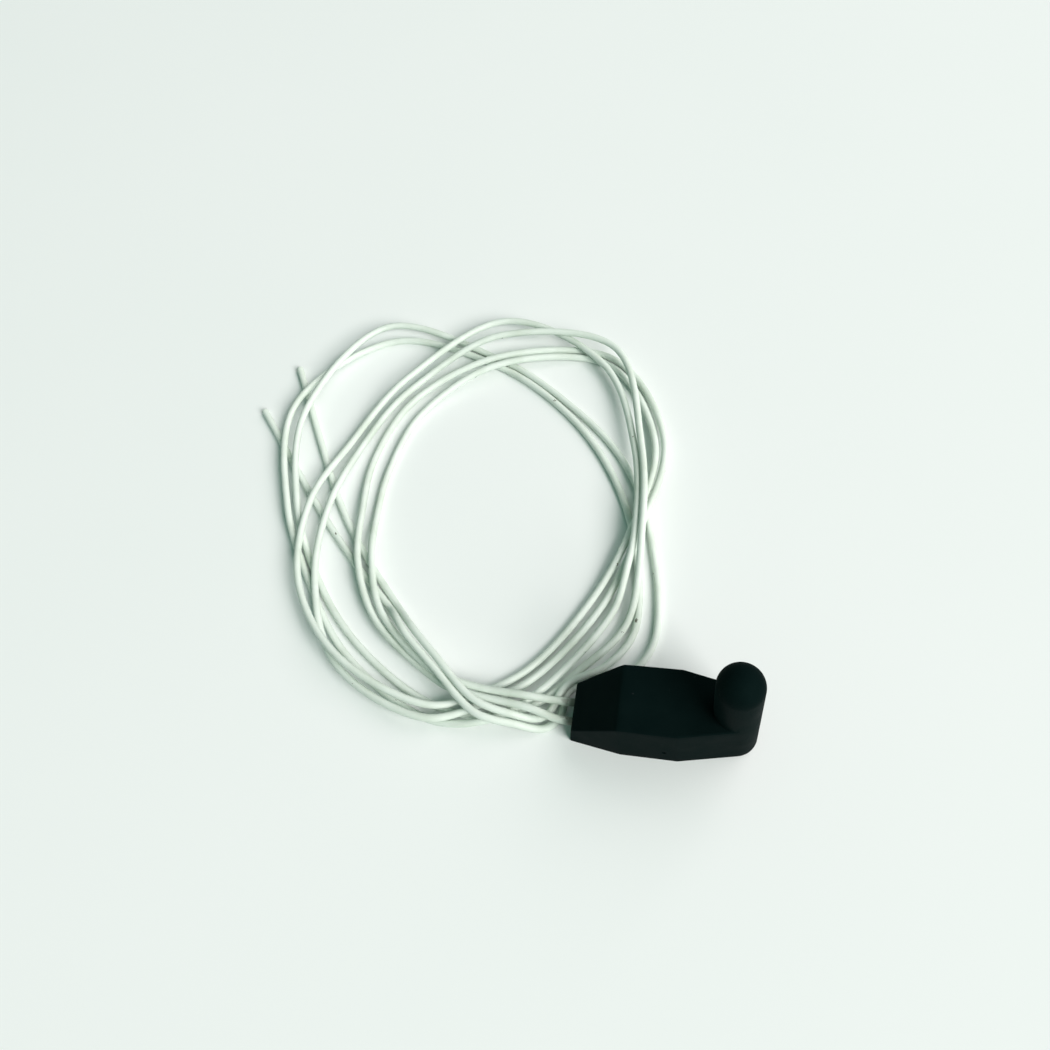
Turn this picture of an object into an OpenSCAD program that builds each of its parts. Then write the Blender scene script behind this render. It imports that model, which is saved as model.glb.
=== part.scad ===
// Ambient air temperature sensor: a thermistor bead potted in a moulded housing with a
// domed post, and two long loose wires that lie coiled beside it.
// Millimetres. X runs from the wire end to the post, Z up, and the housing stands on z = 0.

/* [Housing] */
// Length of the housing, from the foot of the wire end to the far side of the post
body_l = 34.4; // [33:0.2:40]
// Width across the wire end
end_w = 9.5; // [9:0.1:11]
// Width at the shoulder, where the sloping top starts
shoulder_w = 12.5; // [11.5:0.1:15]
// Width at the hip, where the flanks turn in towards the post
hip_w = 12.7; // [11.5:0.1:15]
// Distance from the wire end's top edge to the shoulder
shoulder_x = 8.9; // [7:0.1:11]
// Distance from the wire end's top edge to the hip
hip_x = 19.5; // [17:0.1:21]
// Height of the flat top
body_h = 14; // [11:0.5:18]
// Height of the wire end
end_h = 6.2; // [6:0.1:8]
// How far the wire end leans out at its foot
end_lean = 0.7; // [0.2:0.1:1.2]
// Radius of the shoulder and hip corners in plan
corner_r = 2; // [1:0.5:6]
// Radius of the wire end's two upright corners
end_r = 0.4; // [0.2:0.1:0.8]
// How far the body's round end stands out beyond the post
end_step = 0.05; // [0.03:0.01:0.1]

/* [Post] */
// Diameter of the post and its dome
post_d = 8.4; // [7.6:0.1:9]
// Height of the whole sensor, up to the top of the dome
post_h = 29; // [24:0.5:36]
// Wall of the post round its bore
post_wall = 1.7; // [1.3:0.1:1.8]

/* [Moulding mark] */
// Diameter of the gate mark on the front flank
gate_d = 0.9; // [0.6:0.1:1.2]
// Depth of the gate mark
gate_deep = 0.3; // [0.1:0.05:0.4]
// Distance of the gate mark from the wire end's top edge
gate_x = 17.1; // [12:0.1:18]
// Height of the gate mark
gate_z = 4.4; // [3:0.1:8]

/* [Pocket] */
// Wall between the pocket and the outside
wall = 1.2; // [1:0.05:1.3]

/* [Sensing element] */
// Diameter of the thermistor bead
bead_d = 2.4; // [1.8:0.1:2.6]
// Diameter of a thermistor lead
lead_d = 0.4; // [0.3:0.05:0.5]
// Distance between the two leads at the bead
lead_pitch = 1.2; // [1:0.1:1.4]
// Bend radius of a lead
lead_bend = 2; // [1:0.1:3]

/* [Splice] */
// Outer diameter of a crimp splice
splice_d = 1.9; // [1.7:0.1:2.2]
// Length of a crimp splice
splice_l = 6; // [5:0.5:7]
// Length of bare conductor between the insulation and the splice
bare_l = 0.8; // [0.5:0.1:1.2]
// Depth of the insulated wire inside the potting
wire_in = 5; // [4:0.5:6]

/* [Wires] */
// Diameter of a wire over its insulation
wire_d = 1.5; // [1.4:0.05:1.5]
// Diameter of a wire's stranded conductor
core_d = 0.9; // [0.8:0.05:1]
// Distance between the two wires where they leave the housing
wire_pitch = 3.6; // [3.2:0.1:3.8]
// Height of the wires where they leave the housing
wire_z = 3.1; // [2.6:0.1:3.2]

/* [Hidden] */

round_fn = 96;     // sides of a large round form
small_fn = 32;     // sides of a small round form
tube_sides = 8;    // sides of the plain tubes of the wires and leads
end_fn = 20;       // steps of half the body's round end
past = 1;          // how far a cutter runs past the face it cuts
hole_play = 0.1;   // clearance round a wire in the potting
crimp_play = 0.05; // clearance round a conductor in its splice
lay_play = 0.06;   // clearance between two wires that cross
neck_in = 0.2;     // how far the neck's walls stand in from the bore's
skirt_wall = 0.2;  // cover of the leads in the bead's skirt
lead_close = 4;    // length over which the two leads close up
exit_run = 2;      // length of each wire that leaves the housing straight

post_r = post_d / 2;
round_r = post_r + end_step; // round end of the body
post_x = body_l - end_lean - round_r;
dome_z = post_h - post_r;
bore_r = post_r - post_wall;
middle = body_l / 2 - end_lean; // moves the housing's middle to x = 0

pocket_w = end_w - 2 * wall;
pocket_h = end_h - 2 * wall;
neck_w = 2 * (bore_r - neck_in); // passage from the pocket to the bore

bead_z = dome_z - bead_d / 4;
skirt_z = bead_z - 0.7 * bead_d; // flat underside of the bead's skirt
skirt_d = lead_pitch + lead_d + 2 * skirt_wall;

wire_x = wire_in - end_lean;     // where the insulation stops, inside
splice_x = wire_x + bare_l;
core_end = splice_x + splice_l * 0.45;
lead_start = splice_x + splice_l * 0.55;

// Outline of the housing in plan: one flank, from the wire end to the round end
flank_turn = asin(round_r / norm([post_x - hip_x, hip_w / 2]));
flank_dir = atan2(-hip_w / 2, post_x - hip_x) + flank_turn;
flank_len = sqrt(pow(norm([post_x - hip_x, hip_w / 2]), 2) - pow(round_r, 2));
flank_end = [hip_x + flank_len * cos(flank_dir), hip_w / 2 + flank_len * sin(flank_dir)];
end_slope = (shoulder_w - end_w) / 2 / shoulder_x;
end_foot = [-end_lean, end_w / 2 - end_slope * end_lean];
shoulder = [shoulder_x, shoulder_w / 2];
hip = [hip_x, hip_w / 2];

function unit(v) = v / norm(v);
// points of an arc of radius r that rounds the corner p between its neighbours a and b
function rounded(a, p, b, r, steps = 6) =
    let (u = unit(a - p), v = unit(b - p),
         half = acos(max(-1, min(1, u * v))) / 2,
         reach = r / tan(half),
         centre = p + unit(u + v) * r / sin(half),
         from = p + u * reach - centre, to = p + v * reach - centre)
    [for (i = [0 : steps])
        let (w = from * (1 - i / steps) + to * (i / steps)) centre + unit(w) * r];

end_middle = [-end_lean, 0];
round_end = [for (i = [0 : end_fn])
    let (a = (90 + flank_dir) * (1 - i / end_fn)) [post_x + round_r * cos(a), round_r * sin(a)]];
half_plan = concat(rounded(end_middle, end_foot, shoulder, end_r),
                   rounded(end_foot, shoulder, hip, corner_r),
                   rounded(shoulder, hip, flank_end, corner_r), round_end);
plan = concat(half_plan, [for (i = [len(half_plan) - 2 : -1 : 0])
                          [half_plan[i][0], -half_plan[i][1]]]);

// Side view of the body, without the post: in x and z
side = [[-end_lean, 0], [0, end_h], [shoulder_x, body_h],
        [post_x + post_d, body_h], [post_x + post_d, 0]];

// Routes of the two wires as they lie beside the housing. Each row of a coil is an angle
// in degrees about the coil's centre, a distance from it, and a height in wire layers.
// Each row of a straight is a place: x, y, z from the middle of the housing's base.
coil = [-45, 40];
layer = wire_d + lay_play;

coil_a = [
    [-64, 42.3, 2], [-77, 38.1, 1.6], [-90, 34.7, 1.4], [-120, 26.9, 1.2], [-150, 21.2, 1.1],
    [-180, 19.8, 0.2], [-210, 22.6, 0], [-240, 30.2, 0.2], [-270, 39.3, 1.2], [-300, 49, 0],
    [-330, 43.2, 0.7], [-360, 34.7, 1.1], [-390, 32.6, 0.2], [-420, 36.3, 0],
    [-439, 39.6, 0.5], [-450, 41.6, 1.3], [-480, 39.4, 2.1], [-510, 37.2, 1.5],
    [-540, 34.6, 1.6], [-570, 34.1, 0.5], [-600, 39.6, 1.4], [-630, 51.7, 1.4],
    [-660, 47.6, 1.3], [-690, 38.5, 1.7], [-720, 35.6, 2.3], [-735, 36.1, 1.9],
    [-750, 37.8, 0.6], [-780, 42, 0.9], [-795, 44.8, 1], [-810, 43.8, 0.1], [-840, 37.8, 0],
    [-870, 35.4, 0], [-900, 40, 0.9], [-930, 51.6, 1.1], [-960, 52.9, 0], [-990, 40.3, 0],
    [-1020, 33.6, 0], [-1050, 32, 0], [-1080, 34.9, 0], [-1110, 43.4, 0]];
behind_a = [
    [-12.6, 9.8, 1.4], [-15.6, 7.8, 2.1], [-18.4, 6, 2.3], [-20.2, 3.4, 2], [-21.2, 0.6, 1.5]];
tail_a = [
    [-1142, 46.9, 0.5], [-1149, 44.8, 1.9], [-1157, 41.3, 2.6], [-1170, 32.2, 2.7],
    [-1181, 27.7, 2.3], [-1200, 23.2, 0.1], [-1230, 22.4, 0], [-1260, 27.6, 0],
    [-1298, 60, 0]];
coil_b = [
    [-64, 45, 2.1], [-77, 40, 1.7], [-84, 38.1, 1.4], [-90, 35.8, 0.5], [-120, 28.8, 0.8],
    [-150, 24.3, 1.1], [-180, 23, 0.7], [-210, 27.2, 0], [-240, 34.6, 0.2], [-270, 41.6, 1.2],
    [-300, 51, 0], [-330, 45.3, 0.7], [-360, 36.4, 1.2], [-390, 35.1, 0.2], [-420, 38.7, 0.3],
    [-436, 41.6, 0.9], [-450, 44.3, 1.5], [-480, 40.6, 0.9], [-510, 33.8, 1.1],
    [-540, 30.4, 1.1], [-570, 31.1, 0.6], [-600, 37.3, 0.5], [-630, 46.4, 2.3],
    [-660, 51.7, 2.4], [-690, 40, 2.4], [-720, 37, 2.9], [-750, 41.4, 0.5], [-768, 41.6, 0],
    [-780, 43.4, 0], [-793, 43.8, 0], [-810, 40.7, 0], [-840, 34.7, 0], [-870, 33.5, 0],
    [-900, 37.7, 0.9], [-930, 47.8, 1.7], [-960, 56, 1.3], [-990, 42.2, 0], [-1020, 35.5, 0],
    [-1050, 35.4, 0], [-1080, 38.6, 0], [-1110, 47.9, 0]];
behind_b = [
    [-8.6, 8.4, 0.75], [-12.4, 6.9, 0.75], [-15.6, 6.3, 0.75], [-17.6, 5.7, 0.75],
    [-18.8, 4.3, 0.75], [-19.1, 2.2, 0.75], [-19.6, -0.8, 0.75]];
tail_b = [
    [-1142, 48.8, 0], [-1149, 46.6, 1.4], [-1157, 43.8, 2.4], [-1170, 34.4, 2.5],
    [-1184, 28.9, 2.5], [-1192, 26.4, 1.9], [-1200, 24.8, 0.2], [-1230, 25, 0], [-1260, 33, 0],
    [-1285, 58, 0]];

function on_coil(rows) = [for (r = rows)
    [coil[0] + r[1] * cos(r[0]), coil[1] + r[1] * sin(r[0]), wire_d / 2 + layer * r[2]]];
function exit_rows(y) = [[wire_x - middle, y, wire_z], [-end_lean - middle - exit_run, y, wire_z]];
route_a = concat(exit_rows(wire_pitch / 2), on_coil(coil_a), behind_a, on_coil(tail_a));
route_b = concat(exit_rows(-wire_pitch / 2), on_coil(coil_b), behind_b, on_coil(tail_b));

// Ring of a tube at point i of its route, square to the way the route runs there. The
// route never runs along the direction called flat, which keeps the rings from twisting.
function ring(path, i, r, flat) =
    let (n = len(path),
         ahead = unit(path[min(i + 1, n - 1)] - path[max(i - 1, 0)]),
         across = unit(cross(flat, ahead)), up = cross(ahead, across))
    [for (k = [0 : tube_sides - 1])
        let (a = 360 / tube_sides * (k + 0.5))
        path[i] + r * (cos(a) * across + sin(a) * up)];

module tube(path, d, flat = [0, 0, 1]) {
    n = len(path);
    s = tube_sides;
    points = [for (i = [0 : n - 1]) each ring(path, i, d / 2, flat)];
    walls = [for (i = [0 : n - 2]) for (k = [0 : s - 1])
        let (a = i * s + k, b = i * s + (k + 1) % s)
        each [[a, a + s, b], [b, a + s, b + s]]];
    first = [for (k = [0 : s - 1]) k];
    last = [for (k = [s - 1 : -1 : 0]) (n - 1) * s + k];
    polyhedron(points, concat(walls, [first, last]));
}

// Everything is drawn from the wire end's top edge, and moved here to the middle
module placed() translate([-middle, 0, 0]) children();

// Straight round bar along X, from one x to another
module bar(from, to, y, z, d) {
    translate([from, y, z]) rotate([0, 90, 0])
        cylinder(d = d, h = to - from, $fn = small_fn);
}

// Body without the post, cut to its plan and its side view
module body() {
    intersection() {
        linear_extrude(body_h) polygon(plan);
        translate([0, hip_w, 0]) rotate([90, 0, 0])
            linear_extrude(2 * hip_w) polygon(side);
    }
}

module post() {
    translate([post_x, 0, 0]) {
        cylinder(r = post_r, h = dome_z, $fn = round_fn);
        translate([0, 0, dome_z]) sphere(r = post_r, $fn = round_fn);
    }
}

// Everything inside the housing that the potting fills
module cavity() {
    translate([-end_lean - past, -pocket_w / 2, wall])
        cube([hip_x + end_lean + past, pocket_w, pocket_h]);
    translate([hip_x - past, -neck_w / 2, wall])
        cube([post_x - hip_x + past, neck_w, pocket_h]);
    translate([post_x, 0, wall]) cylinder(r = bore_r, h = dome_z - wall, $fn = round_fn);
    translate([post_x, 0, dome_z]) sphere(r = bore_r, $fn = round_fn);
}

// Round recess in the front flank, between the shoulder and the hip
module gate() {
    flank_y = shoulder_w / 2 + (hip_w - shoulder_w) / 2 * (gate_x - shoulder_x) / (hip_x - shoulder_x);
    translate([gate_x, gate_deep - flank_y, gate_z]) rotate([90, 0, 0])
        cylinder(d = gate_d, h = gate_deep + past, $fn = small_fn);
}

// A lead runs from its splice towards the post, closes up on its twin, and turns upwards
function lead_route(side_y) =
    let (wide = side_y * wire_pitch / 2, near = side_y * lead_pitch / 2,
         turn_x = post_x - lead_bend, turn_z = wire_z + lead_bend)
    concat([[lead_start, wide, wire_z], [turn_x - lead_close, wide, wire_z]],
           [for (a = [0 : 15 : 90])
               [turn_x + lead_bend * sin(a), near, turn_z - lead_bend * cos(a)]],
           [[post_x, near, skirt_z]]);

module lead(side_y) tube(lead_route(side_y), lead_d, [0, 1, 0]);

module splice(side_y) {
    translate([splice_x, side_y * wire_pitch / 2, wire_z]) rotate([0, 90, 0])
        difference() {
            cylinder(d = splice_d, h = splice_l, $fn = small_fn);
            translate([0, 0, -past])
                cylinder(d = core_d + 2 * crimp_play, h = past + splice_l / 2, $fn = small_fn);
            cylinder(d = lead_d + 2 * crimp_play, h = splice_l + past, $fn = small_fn);
        }
}

module core(side_y) bar(wire_x, core_end, side_y * wire_pitch / 2, wire_z, core_d);

module bead() {
    translate([post_x, 0, bead_z]) sphere(d = bead_d, $fn = round_fn);
    translate([post_x, 0, skirt_z]) cylinder(d = skirt_d, h = bead_z - skirt_z, $fn = round_fn);
}

// Room that the potting leaves for what is buried in it
module buried() {
    bead();
    for (side_y = [-1, 1]) {
        y = side_y * wire_pitch / 2;
        lead(side_y);
        core(side_y);
        bar(splice_x, splice_x + splice_l, y, wire_z, splice_d);
        bar(-end_lean - past, wire_x, y, wire_z, wire_d + 2 * hole_play);
    }
}

module housing() {
    color([0.03, 0.03, 0.032]) placed() difference() {
        union() {
            body();
            post();
        }
        cavity();
        gate();
    }
}

module potting() {
    color([0.05, 0.05, 0.05]) placed() difference() {
        intersection() {
            cavity();
            union() {
                body();
                post();
            }
        }
        buried();
    }
}

module thermistor() { color([0.1, 0.08, 0.07]) placed() bead(); }
module lead_a() { color("silver") placed() lead(1); }
module lead_b() { color("silver") placed() lead(-1); }
module splice_a() { color("lightgray") placed() splice(1); }
module splice_b() { color("lightgray") placed() splice(-1); }
module core_a() { color([0.72, 0.45, 0.2]) placed() core(1); }
module core_b() { color([0.72, 0.45, 0.2]) placed() core(-1); }
module wire_a() { color([0.9, 0.93, 0.9]) tube(route_a, wire_d); }
module wire_b() { color([0.9, 0.93, 0.9]) tube(route_b, wire_d); }

housing();
potting();
thermistor();
lead_a();
lead_b();
splice_a();
splice_b();
core_a();
core_b();
wire_a();
wire_b();
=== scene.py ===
import math
import bpy
import bmesh
import numpy as np
from mathutils import Matrix, Vector


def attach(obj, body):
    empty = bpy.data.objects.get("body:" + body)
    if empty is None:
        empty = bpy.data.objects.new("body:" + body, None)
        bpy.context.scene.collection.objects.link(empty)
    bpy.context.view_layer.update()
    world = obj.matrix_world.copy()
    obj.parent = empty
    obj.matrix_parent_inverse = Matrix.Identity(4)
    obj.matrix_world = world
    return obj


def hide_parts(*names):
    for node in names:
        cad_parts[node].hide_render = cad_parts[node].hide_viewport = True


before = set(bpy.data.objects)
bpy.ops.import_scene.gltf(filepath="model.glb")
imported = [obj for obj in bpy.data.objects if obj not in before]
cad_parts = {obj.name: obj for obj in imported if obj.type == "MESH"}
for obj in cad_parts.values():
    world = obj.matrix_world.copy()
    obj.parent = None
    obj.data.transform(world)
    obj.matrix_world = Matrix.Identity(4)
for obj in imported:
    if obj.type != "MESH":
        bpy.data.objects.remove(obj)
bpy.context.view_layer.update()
mm = 0.001
scene = bpy.context.scene
scene.view_settings.view_transform = "Standard"

eye = dict(
    place=(8.4, -64.43, 196.74),            # mm from the middle of the housing's base
    look=(-0.18172, 0.46226, -0.86793),
    up=(-0.07521, 0.87350, 0.48098),
    lens=37.06, sensor=36.0,
    clip=(0.01, 10.0),                      # metres
)


def placeCamera(e):
    data = bpy.data.cameras.new("camera")
    data.sensor_fit = "HORIZONTAL"
    data.sensor_width, data.lens = e["sensor"], e["lens"]
    data.clip_start, data.clip_end = e["clip"]
    back = -Vector(e["look"]).normalized()
    side = Vector(e["up"]).cross(back).normalized()
    turn = Matrix((side, back.cross(side), back)).transposed().to_4x4()
    cam = bpy.data.objects.new("camera", data)
    cam.matrix_world = Matrix.Translation(Vector(e["place"]) * mm) @ turn
    scene.collection.objects.link(cam)
    scene.camera = cam


placeCamera(eye)
print("camera placed")


def shadeSmooth(mesh):
    mesh.polygons.foreach_set("use_smooth", np.ones(len(mesh.polygons), dtype=bool))


def newObject(name, points, faces, smooth=True):
    mesh = bpy.data.meshes.new(name)
    mesh.from_pydata(points.tolist(), [], faces.tolist())
    mesh.update()
    if smooth:
        shadeSmooth(mesh)
    obj = bpy.data.objects.new(name, mesh)
    scene.collection.objects.link(obj)
    return obj


# Quads of a rows x cols grid whose last column joins the first
def gridFaces(rows, cols):
    r = np.arange(rows - 1)[:, None]
    c = np.arange(cols)[None, :]
    n = (c + 1) % cols
    corners = (r * cols + c, r * cols + n, (r + 1) * cols + n, (r + 1) * cols + c)
    return np.stack(corners, -1).reshape(-1, 4)


# Joins points closer than gap, in metres, and turns the faces outwards
def mergeDoubles(obj, gap=1e-6):
    bm = bmesh.new()
    bm.from_mesh(obj.data)
    bmesh.ops.remove_doubles(bm, verts=bm.verts, dist=gap)
    bmesh.ops.dissolve_degenerate(bm, edges=bm.edges, dist=gap)
    bmesh.ops.recalc_face_normals(bm, faces=bm.faces)
    bm.to_mesh(obj.data)
    bm.free()


# Distances from each point of a path to the next
def stepLengths(path):
    return np.linalg.norm(np.diff(path, axis=0), axis=1)


# How far along a path each of its points lies
def runAlong(path):
    return np.concatenate([[0], np.cumsum(stepLengths(path))])


wire = dict(
    diameter=1.5, cutBevel=0.12,            # mm, as all lengths here
    exitX=-16.85, exitZ=3.1, pitch=3.6,     # where the two wires leave the resin
    innerX=-12.2, outerX=-19.2,             # ends of the straight stretch through it
    centre=(-45.0, 40.0),                   # middle of the coil
    layer=1.56,                             # rise from one strand to the next on top of it
    perSpan=14,                             # points from one station to the next
    settle=3,                               # passes that smooth the path
    step=0.45, sides=18,                    # between rings, and round each ring
)

# Rows of a coil and of a tail: angle in degrees about the coil's middle, distance from it in
# mm, and height in layers. Rows of the bend behind the housing: x, y, z in mm.
routeA = dict(
    side=1,
    coil=[
        [-64, 42.3, 2], [-77, 38.1, 1.6], [-90, 34.7, 1.4], [-120, 26.9, 1.2],
        [-150, 21.2, 1.1], [-180, 19.8, 0.2], [-210, 22.6, 0], [-240, 30.2, 0.2],
        [-270, 39.3, 1.2], [-300, 49, 0], [-330, 43.2, 0.7], [-360, 34.7, 1.1],
        [-390, 32.6, 0.2], [-420, 36.3, 0], [-439, 39.6, 0.5], [-450, 41.6, 1.3],
        [-480, 39.4, 2.1], [-510, 37.2, 1.5], [-540, 34.6, 1.6], [-570, 34.1, 0.5],
        [-600, 39.6, 1.4], [-630, 51.7, 1.4], [-660, 47.6, 1.3], [-690, 38.5, 1.7],
        [-720, 35.6, 2.3], [-735, 36.1, 1.9], [-750, 37.8, 0.6], [-780, 42, 0.9],
        [-795, 44.8, 1], [-810, 43.8, 0.1], [-840, 37.8, 0], [-870, 35.4, 0],
        [-900, 40, 0.9], [-930, 51.6, 1.1], [-960, 52.9, 0], [-990, 40.3, 0],
        [-1020, 33.6, 0], [-1050, 32, 0], [-1080, 34.9, 0], [-1110, 43.4, 0]],
    behind=[
        [-12.6, 9.8, 1.4], [-15.6, 7.8, 2.1], [-18.4, 6, 2.3], [-20.2, 3.4, 2],
        [-21.2, 0.6, 1.5]],
    tail=[
        [-1142, 46.9, 0.5], [-1149, 44.8, 1.9], [-1157, 41.3, 2.6], [-1170, 32.2, 2.7],
        [-1181, 27.7, 2.3], [-1200, 23.2, 0.1], [-1230, 22.4, 0], [-1260, 27.6, 0],
        [-1298, 60, 0]],
)
routeB = dict(
    side=-1,
    coil=[
        [-64, 45, 2.1], [-77, 40, 1.7], [-84, 38.1, 1.4], [-90, 35.8, 0.5],
        [-120, 28.8, 0.8], [-150, 24.3, 1.1], [-180, 23, 0.7], [-210, 27.2, 0],
        [-240, 34.6, 0.2], [-270, 41.6, 1.2], [-300, 51, 0], [-330, 45.3, 0.7],
        [-360, 36.4, 1.2], [-390, 35.1, 0.2], [-420, 38.7, 0.3], [-436, 41.6, 0.9],
        [-450, 44.3, 1.5], [-480, 40.6, 0.9], [-510, 33.8, 1.1], [-540, 30.4, 1.1],
        [-570, 31.1, 0.6], [-600, 37.3, 0.5], [-630, 46.4, 2.3], [-660, 51.7, 2.4],
        [-690, 40, 2.4], [-720, 37, 2.9], [-750, 41.4, 0.5], [-768, 41.6, 0],
        [-780, 43.4, 0], [-793, 43.8, 0], [-810, 40.7, 0], [-840, 34.7, 0],
        [-870, 33.5, 0], [-900, 37.7, 0.9], [-930, 47.8, 1.7], [-960, 56, 1.3],
        [-990, 42.2, 0], [-1020, 35.5, 0], [-1050, 35.4, 0], [-1080, 38.6, 0],
        [-1110, 47.9, 0]],
    behind=[
        [-8.6, 8.4, 0.75], [-12.4, 6.9, 0.75], [-15.6, 6.3, 0.75], [-17.6, 5.7, 0.75],
        [-18.8, 4.3, 0.75], [-19.1, 2.2, 0.75], [-19.6, -0.8, 0.75]],
    tail=[
        [-1142, 48.8, 0], [-1149, 46.6, 1.4], [-1157, 43.8, 2.4], [-1170, 34.4, 2.5],
        [-1184, 28.9, 2.5], [-1192, 26.4, 1.9], [-1200, 24.8, 0.2], [-1230, 25, 0],
        [-1260, 33, 0], [-1285, 58, 0]],
)


# x = cx + r cos a, y = cy + r sin a, z = half a wire + its layers
def onCoil(rows):
    angle, r, layers = np.array(rows).T
    a = np.radians(angle)
    cx, cy = wire["centre"]
    z = wire["diameter"] / 2 + wire["layer"] * layers
    return np.stack([cx + r * np.cos(a), cy + r * np.sin(a), z], -1)


# Monotone cubic through the knots (x, y): the slope at a knot is a weighted harmonic mean of
# the slopes beside it, and zero where these turn
def steadyCubic(x, y, at):
    h = np.diff(x)
    d = np.diff(y) / h
    w1, w2 = 2 * h[1:] + h[:-1], h[1:] + 2 * h[:-1]
    product = d[:-1] * d[1:]
    safe = np.where(product > 0, w1 * d[1:] + w2 * d[:-1], 1)
    m = np.concatenate([d[:1], np.where(product > 0, (w1 + w2) * product / safe, 0), d[-1:]])
    k = np.clip(np.searchsorted(x, at) - 1, 0, len(h) - 1)
    u = (at - x[k]) / h[k]
    return ((2 * u**3 - 3 * u**2 + 1) * y[k] + (u**3 - 2 * u**2 + u) * h[k] * m[k]
            + (3 * u**2 - 2 * u**3) * y[k + 1] + (u**3 - u**2) * h[k] * m[k + 1])


# Curve through the stations. In plan each point is blended from four stations, by straight
# lines between them, between those and between those again, over knots that lie apart by
# the square root of the distance. In height it is a cubic that never overshoots.
def throughStations(stations, perSpan):
    before, after = 2 * stations[:1] - stations[1:2], 2 * stations[-1:] - stations[-2:-1]
    p = np.vstack([before, stations, after])
    t = np.concatenate([[0], np.cumsum(np.sqrt(stepLengths(p)))])
    t0, t1, t2, t3 = (t[k:len(t) - 3 + k][:, None, None] for k in range(4))
    p0, p1, p2, p3 = (p[k:len(p) - 3 + k][:, None, :] for k in range(4))
    s = t1 + (t2 - t1) * np.linspace(0, 1, perSpan, endpoint=False)[None, :, None]
    a1 = ((t1 - s) * p0 + (s - t0) * p1) / (t1 - t0)
    a2 = ((t2 - s) * p1 + (s - t1) * p2) / (t2 - t1)
    a3 = ((t3 - s) * p2 + (s - t2) * p3) / (t3 - t2)
    b1 = ((t2 - s) * a1 + (s - t0) * a2) / (t2 - t0)
    b2 = ((t3 - s) * a2 + (s - t1) * a3) / (t3 - t1)
    curve = (((t2 - s) * b1 + (s - t1) * b2) / (t2 - t1)).reshape(-1, 3)
    curve = np.vstack([curve, stations[-1:]])
    along = runAlong(curve[:, :2])
    curve[:, 2] = steadyCubic(along[::perSpan], stations[:, 2], along)
    return curve


# Points at even distances along a path, then smoothed: half of each point and a quarter of
# each neighbour
def evenly(path, step, settle):
    s = runAlong(path)
    at = np.linspace(0, s[-1], int(s[-1] / step))
    path = np.stack([np.interp(at, s, path[:, k]) for k in range(3)], -1)
    for _ in range(settle):
        path[1:-1] = 0.25 * path[:-2] + 0.5 * path[1:-1] + 0.25 * path[2:]
    return path


# UV map of a grid, from one value for each row and one for each column
def layUv(obj, name, u, v):
    values = np.stack(np.broadcast_arrays(u, v), -1).reshape(-1, 2)
    loops = np.empty(len(obj.data.loops), dtype=int)
    obj.data.loops.foreach_get("vertex_index", loops)
    obj.data.uv_layers.new(name=name).data.foreach_set("uv", values[loops].ravel())


# Tube about a path that is never upright: point = path + r (cos a across + sin a over)
def tubeAlong(name, path, radius, sides, cutBevel):
    ahead = np.gradient(path, axis=0)
    ahead /= np.linalg.norm(ahead, axis=1)[:, None]
    across = np.cross([0, 0, 1], ahead)
    across /= np.linalg.norm(across, axis=1)[:, None]
    over = np.cross(ahead, across)
    # three rings at each end: the middle of the cut, its bevelled rim and the full tube
    rows = np.concatenate([[0, 0, 0], np.arange(1, len(path) - 1), [len(path) - 1] * 3])
    r = np.full(len(rows), radius)
    r[[0, -1]], r[[1, -2]] = 0, radius - cutBevel
    slide = np.zeros(len(rows))
    slide[2], slide[-3] = cutBevel, -cutBevel
    a = np.linspace(0, 2 * np.pi, sides, endpoint=False)[None, :, None]
    centre = path[rows] + slide[:, None] * ahead[rows]
    spoke = np.cos(a) * across[rows][:, None, :] + np.sin(a) * over[rows][:, None, :]
    points = centre[:, None, :] + r[:, None, None] * spoke
    obj = newObject(name, points.reshape(-1, 3) * mm, gridFaces(len(rows), sides)[:, ::-1])
    # metres along the wire and share of a turn about it
    layUv(obj, "alongWire", runAlong(centre)[:, None] * mm, np.arange(sides)[None, :] / sides)
    # how far out from the middle a point lies, as a share of the radius
    layUv(obj, "cutFace", r[:, None] / radius, np.zeros(sides)[None, :])
    mergeDoubles(obj)
    return obj


def makeWire(name, route):
    y = route["side"] * wire["pitch"] / 2
    straight = [[wire["innerX"], y, wire["exitZ"]], [wire["outerX"], y, wire["exitZ"]]]
    stations = np.vstack([straight, onCoil(route["coil"]), route["behind"],
                          onCoil(route["tail"])])
    path = evenly(throughStations(stations, wire["perSpan"]), wire["step"], wire["settle"])
    obj = tubeAlong(name, path, wire["diameter"] / 2, wire["sides"], wire["cutBevel"])
    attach(obj, "root")
    return obj


wireA = makeWire("insulated_wire_a", routeA)
wireB = makeWire("insulated_wire_b", routeB)
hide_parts("wire_a")
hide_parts("wire_b")

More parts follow.
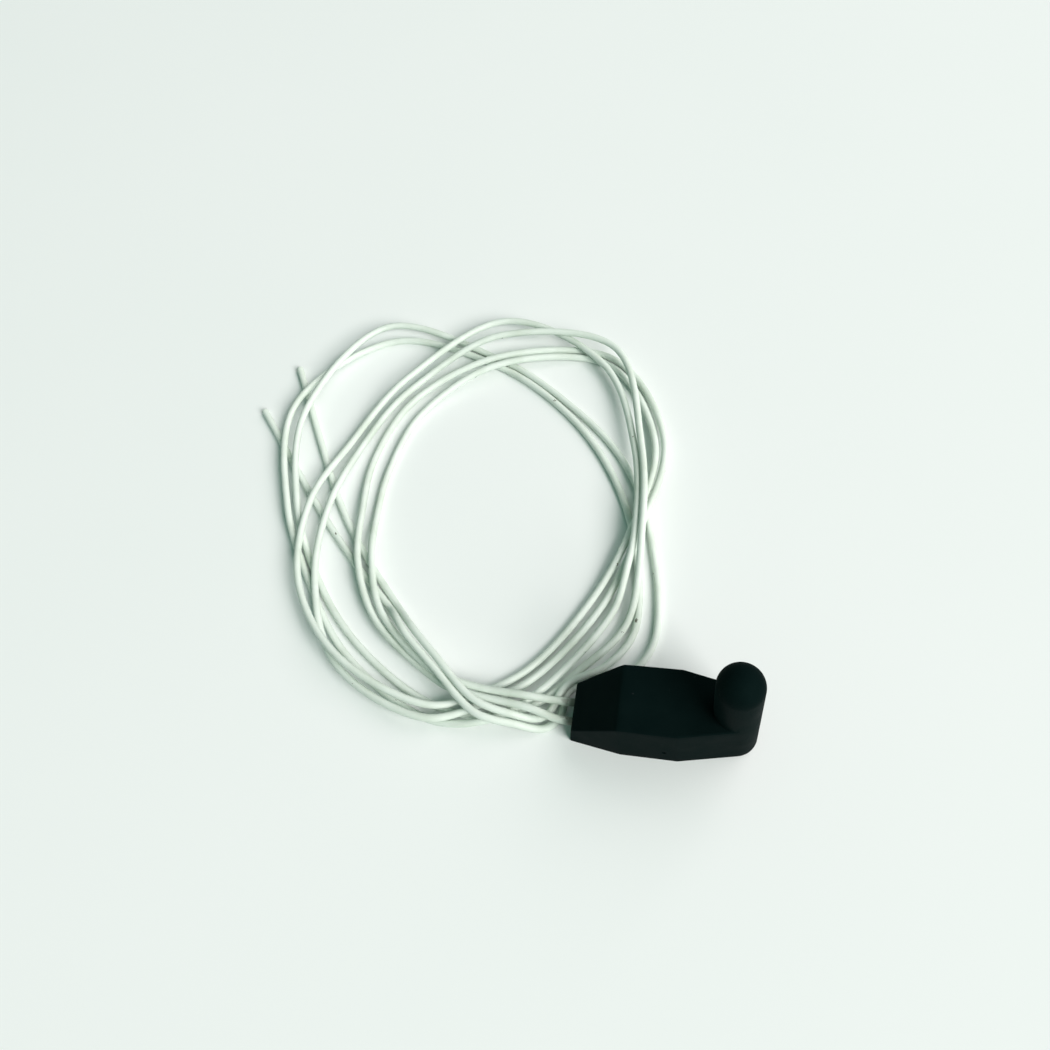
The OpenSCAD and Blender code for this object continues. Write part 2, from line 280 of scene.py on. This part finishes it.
body = dict(
    length=34.4, height=14.0,               # mm; x is counted from the wire end's top edge
    endWidth=9.5, endHeight=6.2,
    lean=0.7, leanReach=3.0,                # the wire end leans back, fading out up to leanReach
    shoulderX=8.9, shoulderWidth=12.5,
    hipX=19.5, hipWidth=12.7,
    roundRadius=4.19,                       # of the end below the post
    cornerRadius=2.0, endRadius=0.4,        # of the upright corners
    softEdge=0.32, footEdge=0.12,           # of the edges round the top and the foot
    ridge=0.35, ridgeLift=0.007,            # rounding, and the lift that restores the height
    spineX=3.5,                             # where the middle line of the mesh starts
    postX=29.45, postRadius=4.2, postFoot=8.0, postTop=29.0,
    wall=1.2, pocketDepth=6.0,
    gateX=17.1, gateZ=4.4, gateDiameter=0.9, gateDepth=0.3,
    gateOut=0.02,                           # how far the flank there stands past its mean
    cutPast=1.0,                            # how far a cutter stands out of what it cuts
    weld=0.002,                             # points closer than this are joined
    sharpAngle=42,                          # degrees, from which an edge isn't shaded smooth
    # points round the plan, rows up the body and the post, and sides of the gate's mark
    net=dict(roundEnd=30, rear=16, flank=18, front=16, end=8,
             foot=7, edge=6, wall=10, top=15, shaft=10, dome=25, gate=32),
    footNear=0.12,                          # last row under the foot, as a share of the way in
)


# Arc of radius r that rounds the corner p between its neighbours a and b: its centre lies
# r / sin(half the angle) from p, and its ends r / tan(half the angle)
def roundCorner(a, p, b, r, count=7):
    u, v = (a - p) / np.linalg.norm(a - p), (b - p) / np.linalg.norm(b - p)
    half = np.arccos(np.clip(u @ v, -1, 1)) / 2
    mid = (u + v) / np.linalg.norm(u + v)
    centre = p + mid * r / np.sin(half)
    start, end = p + u * r / np.tan(half) - centre, p + v * r / np.tan(half) - centre
    w = start + np.linspace(0, 1, count)[:, None] * (end - start)
    return centre + r * w / np.linalg.norm(w, axis=1)[:, None]


# Points p + t (q - p) of a straight, without its ends
def between(p, q, count):
    return p + np.linspace(0, 1, count + 2)[1:-1, None] * (q - p)


# Plan of the body, anticlockwise from the middle of the round end: its arc, the tangent from
# it to the hip, the shoulder and the foot of the wire end, then the same mirrored. The
# tangent is tilted from the line between hip and post by asin(radius / distance).
def bodyPlan(b):
    net, roundR, postX = b["net"], b["roundRadius"], b["postX"]
    hip = np.array([b["hipX"], b["hipWidth"] / 2])
    shoulder = np.array([b["shoulderX"], b["shoulderWidth"] / 2])
    slope = (b["shoulderWidth"] - b["endWidth"]) / 2 / b["shoulderX"]
    foot = np.array([-b["lean"], b["endWidth"] / 2 - slope * b["lean"]])
    middle = np.array([-b["lean"], 0.0])
    away = np.hypot(postX - hip[0], hip[1])
    tilt = math.atan2(-hip[1], postX - hip[0]) + math.asin(roundR / away)
    touch = hip + math.sqrt(away**2 - roundR**2) * np.array([math.cos(tilt), math.sin(tilt)])
    a = np.linspace(0, math.pi / 2 + tilt, net["roundEnd"])
    roundEnd = np.stack([postX + roundR * np.cos(a), roundR * np.sin(a)], -1)
    hipArc = roundCorner(touch, hip, shoulder, b["cornerRadius"])
    shoulderArc = roundCorner(hip, shoulder, foot, b["cornerRadius"])
    footArc = roundCorner(shoulder, foot, middle, b["endRadius"])
    half = np.vstack([roundEnd, between(touch, hipArc[0], net["rear"]),
                      hipArc, between(hipArc[-1], shoulderArc[0], net["flank"]),
                      shoulderArc, between(shoulderArc[-1], footArc[0], net["front"]),
                      footArc, between(footArc[-1], middle, net["end"]), [middle]])
    return np.vstack([half, (half * [1, -1])[-2:0:-1]])


# Top of the body at x: the lower of the flat top and the slope, with their ridge rounded, as
# (flat + slant - sqrt((flat - slant)^2 + ridge^2)) / 2 and a small lift
def topHeight(b, x):
    flat = b["height"]
    slant = b["endHeight"] + (b["height"] - b["endHeight"]) / b["shoulderX"] * x
    lower = (flat + slant - np.sqrt((flat - slant) ** 2 + b["ridge"] ** 2)) / 2
    return lower + b["ridgeLift"]


# Share of the lean that a point of the plan takes: all at the wire end, none from leanReach on
def leanShare(b, x):
    return np.clip((b["leanReach"] - x) / (b["leanReach"] + b["lean"]), 0, 1)


# Top of the body over points of the plan, which the lean has moved by then
def topOver(b, xy):
    return topHeight(b, xy[:, 0] + b["lean"] * leanShare(b, xy[:, 0]))


# From x along the body to x in the part's frame
def inFrame(b, x):
    return x - b["length"] / 2 + b["lean"]


# Closed shell of the body, in rows that follow its plan: from the middle line out under the
# foot, up the walls, over a soft edge, x and y = plan + edge (1 - cos a) inward and
# z = top - edge (1 - sin a), and in to the middle line again
def bodyShell(b):
    net, foot, soft = b["net"], b["footEdge"], b["softEdge"]
    plan = bodyPlan(b)
    ahead = np.roll(plan, -1, 0) - np.roll(plan, 1, 0)
    inward = np.stack([-ahead[:, 1], ahead[:, 0]], -1)
    inward /= np.linalg.norm(inward, axis=1)[:, None]
    spine = np.stack([np.clip(plan[:, 0], b["spineX"], b["postX"]), np.zeros(len(plan))], -1)
    bend = np.linspace(0, math.pi / 2, net["edge"])
    rows = []

    def addRow(xy, z):
        x = xy[:, 0] + b["lean"] * z / b["endHeight"] * leanShare(b, xy[:, 0])
        rows.append(np.stack([x, xy[:, 1], z], -1))

    def wayIn(edge, t):
        return plan + inward * edge + t * (spine - plan - inward * edge)

    for t in np.linspace(1, b["footNear"], net["foot"]):
        addRow(wayIn(foot, t), np.zeros(len(plan)))
    for a in bend[::-1]:
        up = np.full(len(plan), foot * (1 - math.sin(a)))
        addRow(plan + inward * foot * (1 - math.cos(a)), up)
    wallTop = topOver(b, plan) - soft
    for t in np.linspace(0, 1, net["wall"] + 2)[1:-1]:
        addRow(plan, foot + t * (wallTop - foot))
    for a in bend:
        xy = plan + inward * soft * (1 - math.cos(a))
        addRow(xy, topOver(b, xy) - soft * (1 - math.sin(a)))
    for t in np.linspace(0, 1, net["top"] + 1)[1:]:
        xy = wayIn(soft, t)
        addRow(xy, topOver(b, xy))
    points = np.stack(rows)
    faces = gridFaces(*points.shape[:2])
    points[:, :, 0] = inFrame(b, points[:, :, 0])
    obj = newObject("housing_body", points.reshape(-1, 3) * mm, faces)
    mergeDoubles(obj, b["weld"] * mm)
    return obj


# Surface of revolution about an upright axis: x = cx + r cos a, y = r sin a
def revolve(name, radii, heights, cx, count=96):
    a = np.linspace(0, 2 * np.pi, count, endpoint=False)
    r = np.array(radii)[:, None]
    z = np.broadcast_to(np.array(heights)[:, None], (len(radii), count))
    points = np.stack([cx + r * np.cos(a), r * np.sin(a), z], -1).reshape(-1, 3)
    obj = newObject(name, points * mm, gridFaces(len(radii), count))
    mergeDoubles(obj)
    return obj


# Post: a plain shaft, from inside the body up, and on it a half ball, radius r cos a and
# height r sin a
def postShell(b):
    r, domeZ = b["postRadius"], b["postTop"] - b["postRadius"]
    shaft = np.linspace(b["postFoot"], domeZ, b["net"]["shaft"])
    bend = np.linspace(0, math.pi / 2, b["net"]["dome"])[1:]
    radii = np.concatenate([[0], np.full(len(shaft), r), r * np.cos(bend)])
    heights = np.concatenate([shaft[:1], shaft, domeZ + r * np.sin(bend)])
    return revolve("housing_post", radii, heights, inFrame(b, b["postX"]))


# Box between two corners: point = low + (0 or 1) (high - low) along each axis
def boxCutter(low, high):
    corner = np.array([[i, j, k] for i in (0, 1) for j in (0, 1) for k in (0, 1)])
    faces = np.array([[0, 1, 3, 2], [4, 6, 7, 5], [0, 4, 5, 1],
                      [2, 3, 7, 6], [0, 2, 6, 4], [1, 5, 7, 3]])
    low, high = np.array(low), np.array(high)
    return newObject("cutter", (low + corner * (high - low)) * mm, faces, smooth=False)


# The pocket that is open at the wire end, where the resin shows
def pocketCutter(b):
    endX, half = -b["length"] / 2, b["endWidth"] / 2 - b["wall"]
    return boxCutter((endX - b["cutPast"], -half, b["wall"]),
                     (endX + b["pocketDepth"], half, b["endHeight"] - b["wall"]))


# The round mark of the mould's gate, sunk in the near flank
def gateCutter(b):
    r, deep = b["gateDiameter"] / 2, b["gateDepth"] + b["cutPast"]
    cutter = revolve("cutter", [0, r, r, 0], [0, 0, deep, deep], 0, b["net"]["gate"])
    flank = -(b["shoulderWidth"] + b["hipWidth"]) / 4 - b["gateOut"]
    place = Vector((inFrame(b, b["gateX"]), flank + b["gateDepth"], b["gateZ"])) * mm
    cutter.data.transform(Matrix.Translation(place) @ Matrix.Rotation(math.pi / 2, 4, "X"))
    return cutter


# Adds other to obj, or cuts it out, and removes it
def combine(obj, other, operation):
    cut = obj.modifiers.new(operation.lower(), "BOOLEAN")
    cut.operation, cut.object, cut.solver = operation, other, "EXACT"
    shown = obj.evaluated_get(bpy.context.evaluated_depsgraph_get())
    solid = bpy.data.meshes.new_from_object(shown)
    obj.modifiers.clear()
    obj.data = solid
    bpy.data.objects.remove(other)


# Body and post in one piece, less the pocket and the gate's mark
def makeHousing(b):
    housing = bodyShell(b)
    combine(housing, postShell(b), "UNION")
    combine(housing, pocketCutter(b), "DIFFERENCE")
    combine(housing, gateCutter(b), "DIFFERENCE")
    housing.name = "moulded_housing"
    shadeSmooth(housing.data)
    housing.data.set_sharp_from_angle(angle=math.radians(b["sharpAngle"]))
    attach(housing, "root")
    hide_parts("housing")
    print("housing has", len(housing.data.polygons), "faces")
    return housing


housing = makeHousing(body)


def addNode(tree, kind, **values):
    node = tree.nodes.new(kind)
    for key, value in values.items():
        setattr(node, key, value)
    return node


# Links a socket, or sets a plain value
def feed(tree, value, target):
    if isinstance(value, bpy.types.NodeSocket):
        tree.links.new(value, target)
    else:
        target.default_value = value


def mathNode(tree, operation, a, b):
    node = addNode(tree, "ShaderNodeMath", operation=operation)
    feed(tree, a, node.inputs[0])
    feed(tree, b, node.inputs[1])
    return node.outputs[0]


def noiseNode(tree, coords, detail):
    node = addNode(tree, "ShaderNodeTexNoise")
    node.inputs["Detail"].default_value = detail
    tree.links.new(coords, node.inputs["Vector"])
    return node


# From the middle range of a noise, or another range, to low and high
def mapValue(tree, value, low, high, fromLow=0.3, fromHigh=0.7, blend="LINEAR"):
    node = addNode(tree, "ShaderNodeMapRange", interpolation_type=blend)
    ends = {"From Min": fromLow, "From Max": fromHigh, "To Min": low, "To Max": high}
    for key, number in ends.items():
        node.inputs[key].default_value = number
    tree.links.new(value, node.inputs["Value"])
    return node.outputs["Result"]


# The colours of a Mix node are its inputs 6 and 7 and its output 2
def mixColour(tree, factor, first, second):
    node = addNode(tree, "ShaderNodeMix", data_type="RGBA")
    tree.links.new(factor, node.inputs["Factor"])
    for slot, colour in ((6, first), (7, second)):
        feed(tree, (*colour, 1) if isinstance(colour, tuple) else colour, node.inputs[slot])
    return node.outputs[2]


def mixToOutput(tree, factor, first, second, output):
    both = addNode(tree, "ShaderNodeMixShader")
    tree.links.new(factor, both.inputs[0])
    tree.links.new(first.outputs[0], both.inputs[1])
    tree.links.new(second.outputs[0], both.inputs[2])
    tree.links.new(both.outputs[0], tree.nodes[output].inputs["Surface"])


def newGroup(name, inputs, outputs):
    group = bpy.data.node_groups.new(name, "ShaderNodeTree")
    group.interface.new_socket("Vector", in_out="INPUT", socket_type="NodeSocketVector")
    for label, value in inputs.items():
        socket = group.interface.new_socket(label, in_out="INPUT", socket_type="NodeSocketFloat")
        socket.default_value = value
    for label in outputs:
        group.interface.new_socket(label, in_out="OUTPUT", socket_type="NodeSocketFloat")
    return group, group.nodes.new("NodeGroupInput"), group.nodes.new("NodeGroupOutput")


# Grain of a surface: fine noise for the height, and a wider one for colour and sheen
def mouldGrain():
    group, source, sink = newGroup(
        "mouldGrain", {"Grain Scale": 9000.0, "Cloud Scale": 260.0}, ["Height", "Cloud"])
    for scale, detail, result in (("Grain Scale", 3, "Height"), ("Cloud Scale", 4, "Cloud")):
        noise = noiseNode(group, source.outputs["Vector"], detail)
        group.links.new(source.outputs[scale], noise.inputs["Scale"])
        group.links.new(noise.outputs["Fac"], sink.inputs[result])
    return group


# Specks of dirt: a few small spots about random points, their outlines pulled about by noise
def dirtSpecks():
    pull = dict(scale=2600, detail=2, reach=0.0011)    # reach in metres
    group, source, sink = newGroup(
        "dirtSpecks", {"Spacing Scale": 300.0, "Spot Size": 0.12, "Share": 0.3}, ["Specks"])
    noise = noiseNode(group, source.outputs["Vector"], pull["detail"])
    noise.inputs["Scale"].default_value = pull["scale"]
    moved = addNode(group, "ShaderNodeVectorMath", operation="MULTIPLY_ADD")
    group.links.new(noise.outputs["Color"], moved.inputs[0])
    moved.inputs[1].default_value = (pull["reach"],) * 3
    group.links.new(source.outputs["Vector"], moved.inputs[2])
    spots = addNode(group, "ShaderNodeTexVoronoi", feature="F1")
    group.links.new(moved.outputs[0], spots.inputs["Vector"])
    group.links.new(source.outputs["Spacing Scale"], spots.inputs["Scale"])
    pick = addNode(group, "ShaderNodeSeparateColor")
    group.links.new(spots.outputs["Color"], pick.inputs["Color"])
    size = mathNode(group, "MULTIPLY", source.outputs["Spot Size"], pick.outputs["Green"])
    near = mathNode(group, "LESS_THAN", spots.outputs["Distance"], size)
    some = mathNode(group, "LESS_THAN", pick.outputs["Red"], source.outputs["Share"])
    group.links.new(mathNode(group, "MULTIPLY", near, some), sink.inputs["Specks"])
    return group


grain = mouldGrain()
specks = dirtSpecks()


def newMaterial(name, values):
    material = bpy.data.materials.new(name)
    material.use_nodes = True
    shader = material.node_tree.nodes["Principled BSDF"]
    for key, value in values.items():
        shader.inputs[key].default_value = value
    coords = material.node_tree.nodes.new("ShaderNodeTexCoord")
    return material, material.node_tree, shader, coords.outputs["Object"]


def placeGroup(tree, group, coords, values):
    node = addNode(tree, "ShaderNodeGroup", node_tree=group)
    tree.links.new(coords, node.inputs["Vector"])
    for key, value in values.items():
        node.inputs[key].default_value = value
    return node


def firstOfUv(tree, layerName):
    layer = addNode(tree, "ShaderNodeUVMap", uv_map=layerName)
    parts = addNode(tree, "ShaderNodeSeparateXYZ")
    tree.links.new(layer.outputs["UV"], parts.inputs["Vector"])
    return parts.outputs["X"]


def bumpFrom(tree, height, shader, strength, distance):
    bump = addNode(tree, "ShaderNodeBump")
    bump.inputs["Strength"].default_value = strength
    bump.inputs["Distance"].default_value = distance
    tree.links.new(height, bump.inputs["Height"])
    tree.links.new(bump.outputs["Normal"], shader.inputs["Normal"])


# Roughness that wanders with the grain's cloud, and a bump from its height
def roughen(tree, texture, shader, look):
    rough = mapValue(tree, texture.outputs["Cloud"], *look["rough"])
    tree.links.new(rough, shader.inputs["Roughness"])
    bumpFrom(tree, texture.outputs["Height"], shader, *look["bump"])


# In each look, rough goes from the low end of the texture to its high end, and bump is the
# strength and the height in metres
def housingPlastic():
    look = dict(colour=(0.0019, 0.0058, 0.0056), dusty=(0.0028, 0.0076, 0.0072),
                speck=(0.02, 0.024, 0.024), rough=(0.5, 0.62), bump=(0.35, 0.00003))
    material, tree, shader, coords = newMaterial(
        "housingPlastic", {"Specular IOR Level": 0.008, "Specular Tint": (0.5, 1.0, 0.95, 1.0)})
    texture = placeGroup(tree, grain, coords, {"Grain Scale": 7000.0, "Cloud Scale": 240.0})
    dust = placeGroup(tree, specks, coords,
                      {"Spacing Scale": 1400.0, "Spot Size": 0.16, "Share": 0.1})
    cloudy = mapValue(tree, texture.outputs["Cloud"], 0, 1)
    colour = mixColour(tree, cloudy, look["colour"], look["dusty"])
    colour = mixColour(tree, dust.outputs["Specks"], colour, look["speck"])
    tree.links.new(colour, shader.inputs["Base Color"])
    roughen(tree, texture, shader, look)
    return material


def wireInsulation():
    look = dict(
        colour=(0.695, 0.775, 0.70), stained=(0.565, 0.65, 0.555), stains=(0.45, 0.75),
        dirt=(0.10, 0.105, 0.075), rough=(0.38, 0.55), bump=(0.15, 0.00004),
        # one dark colour for grime patches and for painted shade all round the wire at the
        # housing
        grimeAndShade=(0.095, 0.095, 0.07), grimeAndShadeShare=0.85,
        grimeAndShadeEnd=(0.0056, 0.0082), paintedShadeEnd=(0.0052, 0.0066),    # metres along the wire
        grimePatches=(0.46, 0.6),
        conductor=(0.50, 0.30, 0.18), conductorRadius=0.6,            # share of the wire's
    )
    material, tree, shader, coords = newMaterial("wireInsulation", {"Specular IOR Level": 0.3})
    texture = placeGroup(tree, grain, coords, {"Grain Scale": 2600.0, "Cloud Scale": 130.0})
    blotches = placeGroup(tree, grain, coords, {"Grain Scale": 650.0, "Cloud Scale": 130.0})
    dirt = placeGroup(tree, specks, coords,
                      {"Spacing Scale": 430.0, "Spot Size": 0.17, "Share": 0.13})
    stained = mapValue(tree, texture.outputs["Cloud"], 0, 1, *look["stains"])
    colour = mixColour(tree, stained, look["colour"], look["stained"])
    # painted shade all round the wire where it leaves the housing, and grime where the wire was
    # handled, in patches further along
    run = firstOfUv(tree, "alongWire")
    near = mapValue(tree, run, look["grimeAndShadeShare"], 0, *look["grimeAndShadeEnd"])
    # painted shade: darker all round the wire where it leaves the housing
    paintedShadeAllRound = mapValue(tree, run, 1, 0, *look["paintedShadeEnd"])
    patchy = mapValue(tree, blotches.outputs["Height"], 0, 1, *look["grimePatches"])
    grimeAndShadeMask = mathNode(tree, "MULTIPLY", near, mathNode(tree, "MAXIMUM", patchy, paintedShadeAllRound))
    colour = mixColour(tree, grimeAndShadeMask, colour, look["grimeAndShade"])
    colour = mixColour(tree, dirt.outputs["Specks"], colour, look["dirt"])
    # the conductor shows in the cut ends
    core = mathNode(tree, "LESS_THAN", firstOfUv(tree, "cutFace"), look["conductorRadius"])
    colour = mixColour(tree, core, colour, look["conductor"])
    tree.links.new(colour, shader.inputs["Base Color"])
    tree.links.new(core, shader.inputs["Metallic"])
    roughen(tree, texture, shader, look)
    return material


# Both the resin in the housing and the bead's coating, lighter here and there
def castResin(name, colour, rough):
    look = dict(rough=(rough, rough + 0.12), bump=(0.2, 0.00008), times=1.7, plus=0.004)
    material, tree, shader, coords = newMaterial(name, {"Specular IOR Level": 0.12})
    texture = placeGroup(tree, grain, coords, {"Grain Scale": 900.0, "Cloud Scale": 200.0})
    lighter = tuple(min(1, c * look["times"] + look["plus"]) for c in colour)
    cloudy = mapValue(tree, texture.outputs["Cloud"], 0, 1)
    tree.links.new(mixColour(tree, cloudy, colour, lighter), shader.inputs["Base Color"])
    roughen(tree, texture, shader, look)
    return material


def drawnMetal(name, colour, dull, rough, grainScale):
    look = dict(rough=(rough, rough + 0.15), bump=(0.2, 0.00003))
    material, tree, shader, coords = newMaterial(name, {"Metallic": 1.0})
    texture = placeGroup(tree, grain, coords, {"Grain Scale": grainScale, "Cloud Scale": 500.0})
    cloudy = mapValue(tree, texture.outputs["Cloud"], 0, 1)
    tree.links.new(mixColour(tree, cloudy, colour, dull), shader.inputs["Base Color"])
    roughen(tree, texture, shader, look)
    return material


# Fine strands that wind round the conductor: slanted bands in height and colour, with painted
# shade in the grooves between the strands
def strandedCopper():
    look = dict(paintedGrooveShade=(0.42, 0.20, 0.10), crown=(0.80, 0.45, 0.28), slant=28, bandScale=1500,
                rough=(0.45, 0.28), bump=(0.6, 0.00008))
    material, tree, shader, coords = newMaterial("strandedCopper", {"Metallic": 1.0})
    slant = addNode(tree, "ShaderNodeMapping")
    slant.inputs["Rotation"].default_value = (0, 0, math.radians(look["slant"]))
    tree.links.new(coords, slant.inputs["Vector"])
    bands = addNode(tree, "ShaderNodeTexWave", wave_type="BANDS", bands_direction="Y")
    bands.inputs["Scale"].default_value = look["bandScale"]
    tree.links.new(slant.outputs["Vector"], bands.inputs["Vector"])
    strands = bands.outputs["Fac"]
    # painted shade: darker copper in the grooves between strands
    colour = mixColour(tree, strands, look["paintedGrooveShade"], look["crown"])
    tree.links.new(colour, shader.inputs["Base Color"])
    rough = mapValue(tree, strands, *look["rough"], fromLow=0, fromHigh=1)
    tree.links.new(rough, shader.inputs["Roughness"])
    bumpFrom(tree, strands, shader, *look["bump"])
    return material


def dress(obj, material):
    obj.data.materials.clear()
    obj.data.materials.append(material)


insulation = wireInsulation()
tinned = drawnMetal("tinnedLead", colour=(0.72, 0.72, 0.70), dull=(0.55, 0.55, 0.54),
                    rough=0.25, grainScale=3000.0)
sleeve = drawnMetal("crimpSleeve", colour=(0.78, 0.77, 0.74), dull=(0.60, 0.60, 0.58),
                    rough=0.3, grainScale=1500.0)
copper = strandedCopper()
potting = castResin("pottingResin", colour=(0.006, 0.007, 0.007), rough=0.38)
coating = castResin("beadCoating", colour=(0.05, 0.025, 0.015), rough=0.2)
dress(housing, housingPlastic())
dress(wireA, insulation)
dress(wireB, insulation)
dress(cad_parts["potting"], potting)
dress(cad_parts["thermistor"], coating)
for letter in "ab":
    dress(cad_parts["lead_" + letter], tinned)
    dress(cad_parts["splice_" + letter], sleeve)
    dress(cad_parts["core_" + letter], copper)
print("materials made")

stage = dict(
    size=8.0,                               # metres, as all lengths here
    floor=(0.852, 0.885, 0.868), patch=(0.835, 0.875, 0.855),
    backdrop=(0.80, 0.87, 0.83),
    fade=(0.32, 0.8),                       # how far out the floor goes over into the backdrop
    sky=(0.45, 1.0, 0.80), skyStrength=0.18,
    aim=(-0.03, 0.02, 0.0),                 # the point that both lamps face
    key=dict(power=286, size=2.75, place=(3.3, -2.05, 3.05), colour=(1.0, 0.949, 0.955)),
    back=dict(power=117, size=4.25, place=(2.75, 2.4, 3.5), colour=(1.0, 0.869, 0.907)),
)


def layFloor(s):
    half = s["size"] / 2
    corners = np.array([[-half, -half, 0], [half, -half, 0], [half, half, 0], [-half, half, 0]])
    floor = newObject("floor", corners, np.array([[0, 1, 2, 3]]), smooth=False)
    material, tree, shader, coords = newMaterial(
        "paleFloor", {"Specular IOR Level": 0.0, "Roughness": 0.9})
    texture = placeGroup(tree, grain, coords, {"Grain Scale": 900.0, "Cloud Scale": 9.0})
    patchy = mapValue(tree, texture.outputs["Cloud"], 0, 1)
    tree.links.new(mixColour(tree, patchy, s["floor"], s["patch"]), shader.inputs["Base Color"])
    # far out, the camera sees the floor go over into the backdrop
    away = addNode(tree, "ShaderNodeVectorMath", operation="LENGTH")
    tree.links.new(coords, away.inputs[0])
    far = mapValue(tree, away.outputs["Value"], 0, 1, *s["fade"], blend="SMOOTHSTEP")
    rays = addNode(tree, "ShaderNodeLightPath")
    seen = mathNode(tree, "MULTIPLY", far, rays.outputs["Is Camera Ray"])
    glow = addNode(tree, "ShaderNodeEmission")
    glow.inputs["Color"].default_value = (*s["backdrop"], 1)
    mixToOutput(tree, seen, shader, glow, "Material Output")
    dress(floor, material)


def hangLamp(name, aim, power, size, place, colour):
    lamp = bpy.data.lights.new(name, "AREA")
    lamp.energy, lamp.size, lamp.color = power, size, colour
    obj = bpy.data.objects.new(name, lamp)
    turn = (Vector(aim) - Vector(place)).to_track_quat("-Z", "Y").to_matrix().to_4x4()
    obj.matrix_world = Matrix.Translation(Vector(place)) @ turn
    obj.visible_camera = False
    scene.collection.objects.link(obj)


def lightSky(s):
    world = bpy.data.worlds.new("studio")
    world.use_nodes = True
    tree = world.node_tree
    sky = tree.nodes["Background"]
    sky.inputs["Color"].default_value = (*s["sky"], 1)
    sky.inputs["Strength"].default_value = s["skyStrength"]
    # the camera and glossy surfaces see a pale backdrop, which lights nothing else
    backdrop = addNode(tree, "ShaderNodeBackground")
    backdrop.inputs["Color"].default_value = (*s["backdrop"], 1)
    rays = addNode(tree, "ShaderNodeLightPath")
    seen = mathNode(tree, "MAXIMUM", rays.outputs["Is Camera Ray"], rays.outputs["Is Glossy Ray"])
    mixToOutput(tree, seen, sky, backdrop, "World Output")
    scene.world = world


layFloor(stage)
for name in ("key", "back"):
    hangLamp(name, stage["aim"], **stage[name])
lightSky(stage)
print("floor and light placed")
